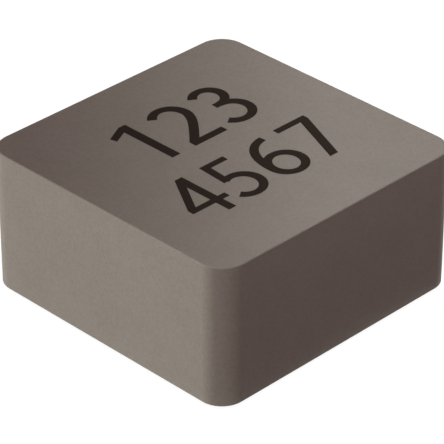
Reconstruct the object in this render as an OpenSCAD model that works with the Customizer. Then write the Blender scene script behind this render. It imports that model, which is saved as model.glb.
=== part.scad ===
// Moulded power inductor for surface mounting.
// A flat enamelled wire is wound in two layers on the post of a T-shaped powder core. Its ends go
// down through notches in the core's base plate and fold under it. Magnetic compound is pressed
// round all of it into a square block, and a terminal is plated over each wire end underneath.
// Millimetres. The origin is the centre of the solder plane and +Z is up.

/* [Body] */
// Side of the square block
body_w = 6.4; // [6.3:0.05:8]
// Height of the block above its underside
body_h = 3.05; // [2.85:0.05:4.5]
// Radius of the four upright corners
corner_r = 0.54; // [0.2:0.02:0.8]
// Rounding of the edge round the top face
top_edge_r = 0.05; // [0.02:0.01:0.12]
// Bevel round the underside
foot_bevel = 0.04; // [0.02:0.01:0.1]

/* [Core] */
// Wall of compound outside the base plate
side_wall = 0.35; // [0.25:0.05:0.45]
// Thickness of the base plate
plate_t = 0.85; // [0.75:0.05:1.1]
// Radius of the base plate's corners
plate_corner_r = 0.4; // [0.1:0.05:0.6]
// Diameter of the centre post
post_d = 2.7; // [1.8:0.05:2.95]
// Bevel round the top of the post
post_bevel = 0.12; // [0.05:0.01:0.25]
// Room between a wire end and the sides of its notch
notch_gap = 0.08; // [0.04:0.01:0.2]
// Radius of the notch's inner corners
notch_r = 0.12; // [0.05:0.01:0.2]

/* [Winding] */
// Thickness of the flat wire
wire_t = 0.3; // [0.16:0.01:0.34]
// Width of the flat wire
wire_w = 0.8; // [0.4:0.05:0.95]
// Enamel on each face of the wire
film = 0.02; // [0.01:0.005:0.03]
// Whole turns in the lower layer; the upper layer has half a turn more
layer_turns = 3; // [1:1:3]
// Run over which the wire climbs from the lower layer to the upper one
climb_run = 1.2; // [0.8:0.05:1.3]
// How much thinner each face of the wire is pressed where it climbs
climb_squeeze = 0.01; // [0.005:0.005:0.03]
// Inner radius of the bend that turns a wire end down, across the wire's width
edge_bend_r = 0.25; // [0.12:0.01:0.28]
// Inner radius of the bend that folds a wire end under the plate
fold_r = 0.12; // [0.05:0.01:0.2]

/* [Terminals] */
// Thickness of the plated terminals
pad_t = 0.05; // [0.03:0.01:0.12]
// Width of a terminal, from the side of the block towards the middle
pad_w = 1.6; // [1.1:0.05:2]
// Length of a terminal along the side of the block
pad_l = 5.1; // [3:0.1:5.4]
// Distance from the side of the block to a terminal
pad_inset = 0.25; // [0.15:0.05:0.5]
// Radius of a terminal's corners
pad_corner_r = 0.15; // [0.05:0.05:0.4]
// How far the terminal reaches past the end of the wire
pad_margin = 0.2; // [0.1:0.05:0.4]

/* [Hidden] */
$fn = 96;

COMPOUND = "#857c73";
FERRITE = "#5f5a56";
COPPER = "#b8703c";
TIN = "#c6c6c1";

// Heights, from the solder plane up
underside = pad_t;
body_top = underside + body_h;
plate_top = underside + plate_t;
lower_z = plate_top + film;
upper_z = lower_z + wire_w + 2 * film;
winding_top = upper_z + wire_w + film;

// Plan of the winding: each half turn is half a pitch further out than the one before
plate_w = body_w - 2 * side_wall;
pitch = wire_t + 2 * film;
inner_r = post_d / 2 + film;
lower_half_turns = 2 * layer_turns;
upper_half_turns = lower_half_turns + 1;
lead_x = inner_r + layer_turns * pitch;
// Whole degrees to either side of +X that hold the climb, with a little level wire at each end
climb_angle = ceil(asin(climb_run / 2 / inner_r)) + 1;

// Wire ends, drawn on the +X side
drop_y = -edge_bend_r - wire_w;
fold_z = underside + wire_t + fold_r;
pad_x = body_w / 2 - pad_inset - pad_w / 2;
wire_end_x = pad_x - pad_w / 2 + pad_margin;
far = 2 * body_w;

function reversed(list) = [for (i = [1 : len(list)]) list[len(list) - i]];

// Flat shapes

module rounded_rect(x, y, r) {
    square([x - 2 * r, y], center = true);
    square([x, y - 2 * r], center = true);
    for (sx = [-1, 1], sy = [-1, 1])
        translate([sx * (x / 2 - r), sy * (y / 2 - r)]) circle(r);
}

// Half disc on the +Y side of its centre
module half_disc(r) {
    intersection() {
        circle(r);
        translate([-r, 0]) square([2 * r, r]);
    }
}

// Side view of the block: top corners rounded by top_edge_r, bottom ones bevelled by foot_bevel
module block_section(w) {
    polygon([
        [-w / 2 + foot_bevel, 0], [w / 2 - foot_bevel, 0], [w / 2, foot_bevel],
        [w / 2, body_h - top_edge_r], [w / 2 - top_edge_r, body_h],
        [-w / 2 + top_edge_r, body_h], [-w / 2, body_h - top_edge_r], [-w / 2, foot_bevel]
    ]);
    for (side = [-1, 1])
        translate([side * (w / 2 - top_edge_r), body_h - top_edge_r]) circle(top_edge_r);
}

// Block with the same edge carried round its four upright corners

module block() {
    straight = body_w - 2 * corner_r;
    translate([0, 0, underside]) {
        for (turn = [0, 90])
            rotate([90, 0, turn])
                linear_extrude(straight, center = true) block_section(body_w);
        for (sx = [-1, 1], sy = [-1, 1])
            translate([sx * straight / 2, sy * straight / 2, 0])
                rotate_extrude()
                    intersection() {
                        block_section(2 * corner_r);
                        square([corner_r, body_h]);
                    }
    }
}

// Core

// Notch through the plate for the wire end on the +X side, open to the side of the plate
module notch() {
    inner_x = lead_x - film;
    y_length = edge_bend_r + wire_w + 2 * notch_gap;
    translate([inner_x + far / 2, notch_gap - y_length / 2, 0])
        linear_extrude(plate_top + film) rounded_rect(far, y_length, notch_r);
}

// The core as the compound meets it, before the wire ends are let into its underside
module core_blank() {
    difference() {
        translate([0, 0, underside])
            linear_extrude(plate_t) rounded_rect(plate_w, plate_w, plate_corner_r);
        notch();
        mirror([1, 0, 0]) notch();
    }
    rotate_extrude()
        polygon([
            [0, plate_top - plate_t / 2], [post_d / 2, plate_top - plate_t / 2],
            [post_d / 2, winding_top - post_bevel], [post_d / 2 - post_bevel, winding_top],
            [0, winding_top]
        ]);
}

// Winding

// Half turn number k of a layer that winds outwards anticlockwise from the climb at +X.
// Odd ones are centred half a pitch to the side, so each meets the next without a kink.
module half_turn(k, from = 0) {
    translate([k % 2 * pitch / 2, 0, 0])
        rotate([0, 0, k % 2 * 180])
            rotate_extrude(angle = 180 - from, start = from)
                translate([inner_r + k * pitch / 2, 0]) square([wire_t, wire_w]);
}

module layer(half_turns) {
    half_turn(0, climb_angle);
    for (k = [1 : half_turns - 1]) half_turn(k);
}

// Where the innermost turn climbs from the lower layer to the upper one: a sector of the turn, cut
// to the side view of the wire, whose edges follow half a cosine wave
module climb() {
    steps = 12;
    rise = upper_z - lower_z;
    lower_edge = concat(
        [[-far, lower_z]],
        [for (i = [0 : steps])
            [climb_run * (i / steps - 0.5), lower_z + rise * (1 - cos(180 * i / steps)) / 2]],
        [[far, upper_z]]
    );
    upper_edge = [for (point = lower_edge) point + [0, wire_w]];
    intersection() {
        rotate_extrude(angle = 2 * climb_angle, start = -climb_angle)
            translate([inner_r + climb_squeeze, lower_z])
                square([wire_t - 2 * climb_squeeze, rise + wire_w]);
        rotate([90, 0, 90])
            linear_extrude(far) polygon(concat(lower_edge, reversed(upper_edge)));
    }
}

// Wire end on the +X side: over the edge of the winding at layer_z, down, and folded under the
// plate. grow makes it bigger on every side, for the hollow that it lies in.
module wire_end(layer_z, grow = 0) {
    bend_z = layer_z - edge_bend_r;
    t = wire_t + 2 * grow;
    w = wire_w + 2 * grow;
    translate([lead_x, 0, bend_z])
        rotate(180, [1, 0, 1])
            rotate_extrude(angle = 90) translate([edge_bend_r - grow, -grow]) square([w, t]);
    translate([lead_x - grow, drop_y - grow, fold_z]) cube([t, w, bend_z - fold_z]);
    translate([lead_x - fold_r, drop_y, fold_z])
        rotate([-90, 0, 0])
            rotate_extrude(angle = 90) translate([fold_r - grow, -grow]) square([t, w]);
    translate([wire_end_x - grow, drop_y - grow, underside - grow])
        cube([lead_x - fold_r - wire_end_x + grow, w, t]);
}

module wire_ends(grow = 0) {
    wire_end(lower_z, grow);
    mirror([1, 0, 0]) wire_end(upper_z, grow);
}

// Outline of the winding with its enamel, from the last two half turns of the upper layer
module winding_outline() {
    for (k = [upper_half_turns - 2, upper_half_turns - 1])
        translate([k % 2 * pitch / 2, 0])
            rotate(k % 2 * 180)
                half_disc(inner_r + k * pitch / 2 + wire_t + film);
}

// The space round the post that the winding and its enamel fill
module winding_space() {
    difference() {
        translate([0, 0, plate_top]) linear_extrude(winding_top - plate_top) winding_outline();
        cylinder(h = body_top, d = post_d);
    }
}

// Pieces

module moulded_body() {
    color(COMPOUND)
        difference() {
            block();
            core_blank();
            winding_space();
            wire_ends(film);
        }
}

module t_core() {
    color(FERRITE)
        difference() {
            core_blank();
            wire_ends(film);
        }
}

module winding() {
    color(COPPER) {
        translate([0, 0, lower_z]) mirror([0, 1, 0]) layer(lower_half_turns);
        climb();
        translate([0, 0, upper_z]) layer(upper_half_turns);
        wire_ends();
    }
}

module terminal(side) {
    color(TIN)
        translate([side * pad_x, 0, 0]) linear_extrude(pad_t) rounded_rect(pad_w, pad_l, pad_corner_r);
}

module start_terminal() { terminal(1); }
module finish_terminal() { terminal(-1); }

moulded_body();
t_core();
winding();
start_terminal();
finish_terminal();
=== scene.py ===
"""Looks of a moulded power inductor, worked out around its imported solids. Metres, in their frame."""

import math

import bpy
import numpy as np
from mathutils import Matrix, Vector
from mathutils.geometry import delaunay_2d_cdt


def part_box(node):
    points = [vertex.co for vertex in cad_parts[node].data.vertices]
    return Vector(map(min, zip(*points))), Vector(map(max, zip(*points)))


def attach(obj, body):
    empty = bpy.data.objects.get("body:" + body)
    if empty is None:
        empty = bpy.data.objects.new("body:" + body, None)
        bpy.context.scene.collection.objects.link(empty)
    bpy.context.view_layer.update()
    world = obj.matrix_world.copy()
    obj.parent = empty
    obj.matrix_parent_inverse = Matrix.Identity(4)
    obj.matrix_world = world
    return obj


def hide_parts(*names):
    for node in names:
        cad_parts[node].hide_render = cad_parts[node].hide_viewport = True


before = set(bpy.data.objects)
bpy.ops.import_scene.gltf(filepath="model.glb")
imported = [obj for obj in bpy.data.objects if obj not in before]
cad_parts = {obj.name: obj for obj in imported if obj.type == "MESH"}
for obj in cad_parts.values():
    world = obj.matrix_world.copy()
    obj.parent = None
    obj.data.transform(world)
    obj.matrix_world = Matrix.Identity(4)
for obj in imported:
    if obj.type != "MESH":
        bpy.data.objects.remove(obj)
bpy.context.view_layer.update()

MM = 0.001

# ---------------------------------------------------------------- sizes

block_low, block_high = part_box("moulded_body")
core_low, core_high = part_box("t_core")
winding_low, winding_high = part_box("winding")

HALF = block_high.x                 # half the block's side
TOP = block_high.z                  # the marked face
UNDERSIDE = block_low.z             # the face that the terminals are plated on
CORNER_R = 0.54 * MM                # the four upright corners
TOP_EDGE_R = 0.03 * MM              # rolled edge round the marked face
TOP_RINGS = (HALF / 2, 0.6 * MM, 1.4 * TOP_EDGE_R)   # rings on the flat top, measured in from its side
FOOT_BEVEL = 0.04 * MM              # bevel round the underside

PLATE_HALF = core_high.x            # half the side of the core's base plate
PLATE_CORNER_R = 0.4 * MM
PLATE_TOP = UNDERSIDE + 0.85 * MM   # the base plate's thickness above the underside
POST_TOP = core_high.z              # the post, and the hollow round the winding, end here
FILM = 0.02 * MM                    # enamel on the wire
WIRE_END_Y = 1.05 * MM              # how far the wire ends reach along the winding's sides

PAD_CORNER_R = 0.15 * MM
PAD_EDGE_R = 0.02 * MM

# ---------------------------------------------------------------- colours, as they look in plain light

COMPOUND = (138, 130, 121)
PRESSED_CORE = (95, 90, 86)
COPPER = (184, 112, 60)
TIN = (198, 198, 193)
INK = (40, 32, 26)


def linear(colour):
    """The linear RGBA of an sRGB colour given from 0 to 255."""
    c = np.array(colour) / 255
    c = np.where(c < 0.04045, c / 12.92, ((c + 0.055) / 1.055) ** 2.4)
    return (*c, 1.0)


# ---------------------------------------------------------------- meshes

def add_mesh(name, points, faces, smooth_below=40):
    """A new object in the scene from points and faces. Faces that meet at less than smooth_below
    degrees are shaded as one surface."""
    mesh = bpy.data.meshes.new(name)
    mesh.from_pydata(points.tolist(), [], [list(map(int, face)) for face in faces])
    mesh.shade_smooth()
    mesh.set_sharp_from_angle(angle=math.radians(smooth_below))
    piece = bpy.data.objects.new(name, mesh)
    bpy.context.scene.collection.objects.link(piece)
    return piece


def rounded_rectangle(half_x, half_y, radius, arc_steps=24, side_steps=10):
    """Points of a rectangle with round corners, anticlockwise from the low end of its +X side.
    Each side is a straight run of even steps and each corner a quarter circle of even steps, so
    that two such outlines with the same step counts match point for point."""
    turn = np.linspace(0, math.pi / 2, arc_steps + 1)[:-1]
    run = np.linspace(-1, 1, side_steps + 1)[:-1]
    corners = [(1, 1), (-1, 1), (-1, -1), (1, -1)]
    parts = []
    for quarter, (sx, sy) in enumerate(corners):
        along = (half_y if quarter % 2 == 0 else half_x) - radius
        out = (half_x if quarter % 2 == 0 else half_y)
        side = np.stack([np.full(side_steps, out), run * along], axis=1)
        angle = quarter * math.pi / 2
        spin = np.array([[math.cos(angle), -math.sin(angle)], [math.sin(angle), math.cos(angle)]])
        centre = np.array([sx * (half_x - radius), sy * (half_y - radius)])
        arc = centre + radius * np.stack([np.cos(turn + angle), np.sin(turn + angle)], axis=1)
        parts += [side @ spin.T, arc]
    return np.concatenate(parts)


def stack_of_loops(loops, heights):
    """A closed surface through loops of matching points, one at each height, and closed at both
    ends by a fan to a point on the axis. Loops that run anticlockwise from the top down give faces
    that point outwards."""
    count = len(loops[0])
    rings = [np.column_stack([loop, np.full(count, z)]) for loop, z in zip(loops, heights)]
    poles = [np.array([[0, 0, heights[0]]]), np.array([[0, 0, heights[-1]]])]
    points = np.concatenate(rings + poles)
    first, last = len(points) - 2, len(points) - 1
    j = np.arange(count)
    k = (j + 1) % count
    faces = []
    for row in range(len(loops) - 1):
        upper, lower = row * count, (row + 1) * count
        faces += np.stack([upper + j, lower + j, lower + k, upper + k], axis=1).tolist()
    end = (len(loops) - 1) * count
    faces += np.stack([np.full(count, first), j, k], axis=1).tolist()
    faces += np.stack([np.full(count, last), end + k, end + j], axis=1).tolist()
    return points, faces


def quarter_roll(radius, steps):
    """How far in and how far down a quarter-round edge lies at even turns, from the flat face
    that it leaves to the side that it meets: r (1 - sin a) in and r (1 - cos a) down."""
    turn = np.linspace(0, math.pi / 2, steps + 1)
    return radius * (1 - np.sin(turn)), radius * (1 - np.cos(turn))


# ---------------------------------------------------------------- materials

def add_node(tree, kind, inputs=None, **settings):
    """A shader node with its settings, and its inputs by name: a socket is linked, and any other
    value is set."""
    made = tree.nodes.new(kind)
    for name, value in settings.items():
        setattr(made, name, value)
    for name, value in (inputs or {}).items():
        if isinstance(value, bpy.types.NodeSocket):
            tree.links.new(value, made.inputs[name])
        else:
            made.inputs[name].default_value = value
    return made


def new_material(name, **sockets):
    """A material with one Principled shader, whose plain values are set on its own sockets.
    Returns the material, its node tree, the shader and the piece's own coordinates."""
    material = bpy.data.materials.new(name)
    material.use_nodes = True
    tree = material.node_tree
    shader = tree.nodes["Principled BSDF"]
    for socket, value in sockets.items():
        shader.inputs[socket.replace("_", " ")].default_value = value
    place = tree.nodes.new("ShaderNodeTexCoord").outputs["Object"]
    return material, tree, shader, place


def noise(tree, place, size, detail=2.0, roughness=0.5):
    """Smooth noise from 0 to 1 whose features are about size across."""
    inputs = {"Vector": place, "Scale": 1 / size, "Detail": detail, "Roughness": roughness}
    return add_node(tree, "ShaderNodeTexNoise", inputs).outputs["Fac"]


def grains(tree, place, size):
    """Cells about size across: the distance from each cell's middle, and its own random value."""
    cells = add_node(tree, "ShaderNodeTexVoronoi", {"Vector": place, "Scale": 1 / size})
    own = add_node(tree, "ShaderNodeSeparateColor", {"Color": cells.outputs["Color"]})
    return cells.outputs["Distance"], own.outputs["Red"]


def remap(tree, value, low, high, to_low, to_high):
    """value from low to high, taken evenly to to_low to to_high and held at both ends."""
    inputs = {"Value": value, "From Min": low, "From Max": high, "To Min": to_low, "To Max": to_high}
    return add_node(tree, "ShaderNodeMapRange", inputs).outputs["Result"]


def math_node(tree, operation, a, b):
    made = add_node(tree, "ShaderNodeMath", operation=operation)
    for socket, value in zip(made.inputs, (a, b)):
        if isinstance(value, bpy.types.NodeSocket):
            tree.links.new(value, socket)
        else:
            socket.default_value = value
    return made.outputs[0]


def scaled_colour(tree, colour, factor):
    """A colour whose brightness follows factor."""
    scale = add_node(tree, "ShaderNodeVectorMath", {0: linear(colour)[:3]}, operation="SCALE")
    tree.links.new(factor, scale.inputs["Scale"])
    return scale.outputs["Vector"]


def bump(tree, shader, height, depth):
    """Raises the surface by height times depth, in metres."""
    made = add_node(tree, "ShaderNodeBump", {"Height": height, "Distance": depth})
    tree.links.new(made.outputs["Normal"], shader.inputs["Normal"])


def pressed_powder(name, colour, grain, contrast, roughness):
    """Metal powder pressed with a little resin: fine grains that differ in shade, a slow mottle
    from uneven filling, and a surface as rough as its grains."""
    material, tree, shader, place = new_material(
        name, Roughness=roughness, Specular_IOR_Level=0.2)
    middle, own = grains(tree, place, grain)
    shade = remap(tree, own, 0, 1, 1 - contrast, 1 + contrast)
    mottle = remap(tree, noise(tree, place, 0.7 * MM, 3), 0.3, 0.7, 0.975, 1.025)
    brightness = math_node(tree, "MULTIPLY", shade, mottle)
    tree.links.new(scaled_colour(tree, colour, brightness), shader.inputs["Base Color"])
    fine = noise(tree, place, grain / 2, 3, 0.6)
    height = math_node(tree, "SUBTRACT", fine, math_node(tree, "MULTIPLY", middle, 0.5))
    bump(tree, shader, height, 0.0015 * MM)
    return material


def printed_ink(name):
    """Dark ink with a faint mottle and a fine texture of its own."""
    material, tree, shader, place = new_material(name, Roughness=0.8, Specular_IOR_Level=0.05)
    brightness = remap(tree, noise(tree, place, 0.06 * MM, 3), 0.25, 0.75, 0.9, 1.1)
    tree.links.new(scaled_colour(tree, INK, brightness), shader.inputs["Base Color"])
    bump(tree, shader, noise(tree, place, 0.03 * MM, 3), 0.001 * MM)
    return material


def tin_plate(name):
    """Satin tin over copper: fine crystals and a slow waviness from the plating bath."""
    material, tree, shader, place = new_material(name, Metallic=1.0)
    middle, own = grains(tree, place, 0.03 * MM)
    shade = remap(tree, own, 0, 1, 0.93, 1.05)
    tree.links.new(scaled_colour(tree, TIN, shade), shader.inputs["Base Color"])
    gloss = remap(tree, noise(tree, place, 0.4 * MM, 3), 0.3, 0.7, 0.3, 0.45)
    tree.links.new(gloss, shader.inputs["Roughness"])
    height = math_node(tree, "ADD", noise(tree, place, 0.5 * MM, 2), math_node(tree, "MULTIPLY", middle, 0.1))
    bump(tree, shader, height, 0.003 * MM)
    return material


def enamelled_copper(name):
    """Copper under a clear, slightly amber enamel, drawn along the wire."""
    material, tree, shader, place = new_material(
        name, Metallic=1.0, Roughness=0.28, Coat_Weight=1.0, Coat_Roughness=0.12,
        Coat_Tint=(1.0, 0.86, 0.62, 1.0))
    shade = remap(tree, noise(tree, place, 0.25 * MM, 4), 0.3, 0.7, 0.88, 1.06)
    tree.links.new(scaled_colour(tree, COPPER, shade), shader.inputs["Base Color"])
    bump(tree, shader, noise(tree, place, 0.08 * MM, 3), 0.001 * MM)
    return material


compound = pressed_powder("compound", COMPOUND, 0.045 * MM, 0.05, 0.85)
pressed_core = pressed_powder("pressed_core", PRESSED_CORE, 0.07 * MM, 0.09, 0.75)
copper_wire = enamelled_copper("copper_wire")
tin = tin_plate("tin_plate")
ink = printed_ink("ink")

for node, material in (("t_core", pressed_core), ("winding", copper_wire)):
    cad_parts[node].material_slots[0].material = material


def finish_piece(piece, material, slot, *nodes):
    """Gives a piece its material, hangs it under the root body and hides the imported parts that it replaces.
    """
    piece.data.materials.append(material)
    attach(piece, "root")
    if nodes:
        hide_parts(*nodes)


# ---------------------------------------------------------------- the moulded block

def winding_hollow(outline):
    """The outline's points drawn in to the hollow that holds the winding: a disc that reaches the
    far corners of the wire ends, cut flat beside them. The radius at an angle is the smaller of the
    disc's and side / |cos angle|."""
    side = winding_high.x + FILM
    reach = math.hypot(side, WIRE_END_Y + FILM)
    angle = np.arctan2(outline[:, 1], outline[:, 0])
    radius = np.minimum(reach, side / np.maximum(np.abs(np.cos(angle)), 1e-6))
    return radius[:, None] * np.stack([np.cos(angle), np.sin(angle)], axis=1)


def moulded_block():
    """One closed skin in rings: in from the middle of the top over the rolled edge, down the
    sides, round the bevel, in to the core's plate, and up and over the hollow that holds it."""
    roll_in, roll_down = quarter_roll(TOP_EDGE_R, 8)
    insets = [*TOP_RINGS, *roll_in, 0, 0, FOOT_BEVEL]
    heights = [*[TOP] * len(TOP_RINGS), *(TOP - roll_down), (TOP + UNDERSIDE) / 2,
               UNDERSIDE + FOOT_BEVEL, UNDERSIDE]
    loops = [rounded_rectangle(HALF - d, HALF - d, max(CORNER_R - d, CORNER_R / 4)) for d in insets]
    plate = rounded_rectangle(PLATE_HALF, PLATE_HALF, PLATE_CORNER_R)
    hollow = winding_hollow(plate)
    loops += [plate, plate, hollow, hollow]
    heights += [UNDERSIDE, PLATE_TOP, PLATE_TOP, POST_TOP]
    return add_mesh("moulded_block", *stack_of_loops(loops, heights))


finish_piece(moulded_block(), compound, "compound", "moulded_body")


# ---------------------------------------------------------------- terminals

def pad(name, node):
    """A plated terminal: a flat plate with round corners whose lower edge is rolled."""
    low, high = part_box(node)
    centre, half = (low + high) / 2, (high - low) / 2
    roll_in, roll_down = quarter_roll(PAD_EDGE_R, 5)
    insets = [half.x / 2, 0, *roll_in[::-1], half.x / 2]
    heights = [high.z, high.z, *(low.z + roll_down[::-1]), low.z]
    loops = [rounded_rectangle(half.x - d, half.y - d, max(PAD_CORNER_R - d, PAD_CORNER_R / 2), 10, 12)
             for d in insets]
    points, faces = stack_of_loops(loops, heights)
    points[:, :2] += centre[:2]
    return add_mesh(name, points, faces)


finish_piece(pad("start_pad", "start_terminal"), tin, "tin_plate", "start_terminal")
finish_piece(pad("finish_pad", "finish_terminal"), tin, "tin_plate", "finish_terminal")


# ---------------------------------------------------------------- the marking

# Figures are drawn one unit high. A stroke is STEM wide where it runs up and BAR where it runs level.
STEM = 0.126
BAR = 0.112
ADVANCE = 0.68            # from one figure to the next
WIDEN = 1.08              # the whole line is this much wider than it is drawn


def arc(x, y, half_x, half_y, start, end, steps=28):
    """Points along an ellipse about (x, y), between two angles in degrees: half_x cos and half_y sin
    of the angle."""
    turn = np.radians(np.linspace(start, end, steps + 1))
    return np.stack([x + half_x * np.cos(turn), y + half_y * np.sin(turn)], axis=1)


def curve(a, b, c, d, steps=24):
    """Points along the cubic curve from a to d that leaves towards b and arrives from c: the four
    weighted by (1-t)^3, 3 (1-t)^2 t, 3 (1-t) t^2 and t^3, as t goes from 0 to 1."""
    t = np.linspace(0, 1, steps + 1)[:, None]
    a, b, c, d = map(np.array, (a, b, c, d))
    return (1 - t) ** 3 * a + 3 * (1 - t) ** 2 * t * b + 3 * (1 - t) * t ** 2 * c + t ** 3 * d


def stroke(points):
    """Four-sided pieces that follow a line of points, each as wide as its direction asks."""
    along = np.gradient(points, axis=0)
    along /= np.linalg.norm(along, axis=1)[:, None]
    width = BAR + (STEM - BAR) * np.abs(along[:, 1:])
    aside = np.stack([-along[:, 1], along[:, 0]], axis=1) * width / 2
    left, right = points + aside, points - aside
    return list(np.stack([left[:-1], right[:-1], right[1:], left[1:]], axis=1))


def shape(*points):
    """One straight-sided piece with these corners."""
    return [np.array(points, float)]


FIGURES = {
    "1": shape((0.355, 0), (0.482, 0), (0.482, 1), (0.378, 1), (0.13, 0.866), (0.155, 0.765), (0.355, 0.868)),
    "2": stroke(arc(0.285, 0.70, 0.222, 0.247, 146, -30))
    + stroke(curve((0.477, 0.577), (0.43, 0.44), (0.21, 0.21), (0.095, 0.068)))
    + shape((0.05, 0), (0.565, 0), (0.565, BAR), (0.05, BAR)),
    "3": stroke(arc(0.255, 0.742, 0.195, 0.205, 148, -92))
    + stroke(arc(0.25, 0.292, 0.232, 0.24, 92, -148))
    + shape((0.165, 0.482), (0.275, 0.482), (0.275, 0.588), (0.165, 0.588)),
    "4": shape((0.392, 0), (0.512, 0), (0.512, 1), (0.392, 1))
    + shape((0.02, 0.24), (0.625, 0.24), (0.625, 0.34), (0.02, 0.34))
    + shape((0.02, 0.34), (0.148, 0.34), (0.392, 0.775), (0.392, 1)),
    "5": shape((0.125, BAR / 2 + 0.842), (0.525, BAR / 2 + 0.842), (0.525, 1), (0.125, 1))
    + shape((0.125, 1), (0.095, 0.50), (0.205, 0.50), (0.24, 1))
    + stroke(arc(0.25, 0.308, 0.24, 0.256, 118, -146)),
    "6": stroke(arc(0.305, 0.305, 0.232, 0.253, 0, 360, 48))
    + stroke(curve((0.073, 0.33), (0.073, 0.66), (0.21, 0.93), (0.495, 0.945))),
    "7": shape((0.045, 0.893), (0.44, 0.893), (0.1, 0), (0.238, 0), (0.585, 0.905), (0.585, 1), (0.045, 1)),
}


def flat_print(name, text, height, centre_x, baseline_y, low, high):
    """A line of figures as one thin closed solid from low to high. The strokes are joined where
    they overlap, the joined outline is filled with triangles, and a wall follows its edge."""
    outlines = []
    for place, figure in enumerate(text):
        shift = (place - len(text) / 2) * ADVANCE
        outlines += [piece + (shift, 0) for piece in FIGURES[figure]]
    corners = np.concatenate(outlines)
    starts = np.cumsum([0] + [len(outline) for outline in outlines])
    rings = [list(range(a, b)) for a, b in zip(starts[:-1], starts[1:])]
    flat, _, triangles, _, _, owners = delaunay_2d_cdt([Vector(p) for p in corners], [], rings, 1, 1e-5)
    triangles = np.array([t for t, owner in zip(triangles, owners) if owner])
    used, triangles = np.unique(triangles, return_inverse=True)
    triangles = triangles.reshape(-1, 3)
    flat = np.array(flat)[used] * (WIDEN * height, height) + (centre_x, baseline_y)

    count = len(flat)
    points = np.concatenate([np.column_stack([flat, np.full(count, z)]) for z in (high, low)])
    i, j = np.concatenate([triangles[:, [0, 1]], triangles[:, [1, 2]], triangles[:, [2, 0]]]).T
    rim = ~np.isin(i * count + j, j * count + i)
    walls = np.stack([i + count, j + count, j, i], axis=1)[rim]
    faces = triangles.tolist() + (triangles[:, ::-1] + count).tolist() + walls.tolist()
    return add_mesh(name, points, faces)


INK_PROUD = 0.004 * MM
INK_SUNK = 0.006 * MM
SIDE = 2 * HALF

for name, text, height, centre_x, baseline_y in (
    ("marking_upper", "123", 0.240 * SIDE, 0.020 * SIDE, 0.055 * SIDE),
    ("marking_lower", "4567", 0.225 * SIDE, -0.006 * SIDE, -0.270 * SIDE),
):
    line = flat_print(name, text, height, centre_x, baseline_y, TOP - INK_SUNK, TOP + INK_PROUD)
    finish_piece(line, ink, "marking_ink")


# ---------------------------------------------------------------- floor, light and camera

def direction(azimuth, elevation):
    """Unit vector towards a point round the object: azimuth 0 is on the -Y side and 90 on +X."""
    a, e = math.radians(azimuth), math.radians(elevation)
    return Vector((math.sin(a) * math.cos(e), -math.cos(a) * math.cos(e), math.sin(e)))


def seen_directly(tree):
    """1 for what the camera sees, also in a mirror or through glass, and 0 for light on the object."""
    rays = tree.nodes.new("ShaderNodeLightPath").outputs
    mirrored = math_node(tree, "MAXIMUM", rays["Is Glossy Ray"], rays["Is Transmission Ray"])
    return math_node(tree, "MAXIMUM", rays["Is Camera Ray"], mirrored)


FLOOR_HALF = 0.5
FLOOR_COLOUR = 0.8        # the floor as the object's faces see it
FLOOR_GLOW = 0.93         # white that the camera sees on the floor whatever falls on it
FLOOR_SHADE = 0.35        # how strongly the camera sees light and shadow on the floor
AMBIENT = 0.341
AMBIENT_COLOUR = (1.0, 0.813, 0.816, 1.0)


def pale_floor():
    """A plain white floor that keeps the object's soft shadow."""
    corners = np.array([(-1, -1, 0), (1, -1, 0), (1, 1, 0), (-1, 1, 0)]) * FLOOR_HALF
    floor = add_mesh("floor", corners, [(0, 1, 2, 3)])
    material = bpy.data.materials.new("floor")
    material.use_nodes = True
    tree = material.node_tree
    tree.nodes.clear()
    direct = seen_directly(tree)
    shade = remap(tree, direct, 0, 1, FLOOR_COLOUR, FLOOR_SHADE)
    matt = add_node(tree, "ShaderNodeBsdfDiffuse", {"Color": shade})
    glow = add_node(tree, "ShaderNodeEmission", {"Strength": math_node(tree, "MULTIPLY", direct, FLOOR_GLOW)})
    both = add_node(tree, "ShaderNodeAddShader")
    tree.links.new(matt.outputs[0], both.inputs[0])
    tree.links.new(glow.outputs[0], both.inputs[1])
    output = add_node(tree, "ShaderNodeOutputMaterial")
    tree.links.new(both.outputs[0], output.inputs["Surface"])
    floor.data.materials.append(material)


def soft_world():
    """Even light from all round, and white where the camera sees past the floor."""
    world = bpy.data.worlds.new("studio")
    bpy.context.scene.world = world
    world.use_nodes = True
    tree = world.node_tree
    tree.nodes.clear()
    direct = seen_directly(tree)
    around = add_node(tree, "ShaderNodeBackground", {"Color": AMBIENT_COLOUR, "Strength": AMBIENT})
    white = add_node(tree, "ShaderNodeBackground", {"Color": (1, 1, 1, 1), "Strength": 1.0})
    mix = add_node(tree, "ShaderNodeMixShader", {0: direct})
    tree.links.new(around.outputs[0], mix.inputs[1])
    tree.links.new(white.outputs[0], mix.inputs[2])
    output = add_node(tree, "ShaderNodeOutputWorld")
    tree.links.new(mix.outputs[0], output.inputs["Surface"])


def add_lamp(name, kind, towards, distance=1.0, **settings):
    """A lamp that stands in the direction towards from the origin and shines at it."""
    lamp = bpy.data.lights.new(name, kind)
    for setting, value in settings.items():
        setattr(lamp, setting, value)
    stand = bpy.data.objects.new(name, lamp)
    stand.location = towards * distance
    stand.rotation_euler = (-towards).to_track_quat("-Z", "Y").to_euler()
    bpy.context.scene.collection.objects.link(stand)
    return stand


SUN_HEIGHT = 0.5          # degrees above the floor, so that the suns miss the marked face
SUN_WIDTH = math.radians(1)
SIDE_COLOUR = (0.933, 1.0, 0.98)
PANEL_COLOUR = (0.882, 0.969, 1.0)
PANEL_SIDE = 2 * HALF + 0.36 * MM
PANEL_HEIGHT = 20 * MM
FADE_START = -4.0 * MM    # along the diagonal towards the +X -Y corner
FADE_END = 2.0 * MM
FADE_CURVE = 1.3
FADE_LEAST = 0.08


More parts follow.
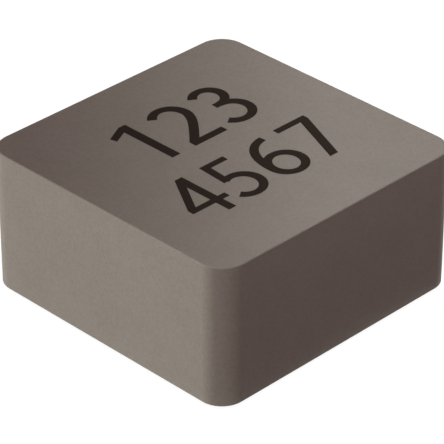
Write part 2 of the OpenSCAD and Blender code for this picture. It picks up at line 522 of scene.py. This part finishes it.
def overhead_panel():
    """A gridded square panel straight above the block, as wide as the block and a little over. It
    is graduated: its strength rises evenly along the diagonal, and is then level."""
    stand = add_lamp(
        "overhead_panel", "AREA", Vector((0, 0, 1)), distance=PANEL_HEIGHT,
        energy=0.000091, color=PANEL_COLOUR, shape="SQUARE", size=PANEL_SIDE, spread=math.radians(1))
    stand.rotation_euler = (0, 0, 0)
    stand.visible_camera = False
    lamp = stand.data
    lamp.use_nodes = True
    tree = lamp.node_tree
    across = tree.nodes.new("ShaderNodeTexCoord").outputs["UV"]
    split = add_node(tree, "ShaderNodeSeparateXYZ", {"Vector": across})
    diagonal = math_node(tree, "SUBTRACT", split.outputs["X"], split.outputs["Y"])
    unit = PANEL_SIDE / math.sqrt(2)
    rise = remap(tree, diagonal, FADE_START / unit, FADE_END / unit, 0, 1)
    strength = remap(tree, math_node(tree, "POWER", rise, FADE_CURVE), 0, 1, FADE_LEAST, 1)
    tree.links.new(strength, tree.nodes["Emission"].inputs["Strength"])


pale_floor()
soft_world()
# Two suns share the -X side: one faces it, and one grazes it, which widens the shading round its corner.
add_lamp("side_light", "SUN", direction(-95, SUN_HEIGHT), energy=0.953, color=SIDE_COLOUR, angle=SUN_WIDTH)
add_lamp("low_light", "SUN", direction(-150, SUN_HEIGHT), energy=2.3, color=SIDE_COLOUR, angle=SUN_WIDTH)
add_lamp("back_light", "SUN", direction(100, SUN_HEIGHT), energy=1.2, angle=SUN_WIDTH)
overhead_panel()

CAMERA_AIM = Vector((0, 0, TOP - 1.715 * MM))
CAMERA_DISTANCE = 55.9 * MM
CAMERA_SIDE = direction(-45, 32)
camera_data = bpy.data.cameras.new("camera")
camera_data.sensor_width = 36
camera_data.lens = 233.8
camera_data.clip_start = 1 * MM
camera_data.clip_end = 10
camera = bpy.data.objects.new("camera", camera_data)
camera.location = CAMERA_AIM + CAMERA_SIDE * CAMERA_DISTANCE
camera.rotation_euler = (-CAMERA_SIDE).to_track_quat("-Z", "Y").to_euler()
bpy.context.scene.collection.objects.link(camera)
bpy.context.scene.camera = camera

bpy.context.scene.view_settings.view_transform = "Standard"
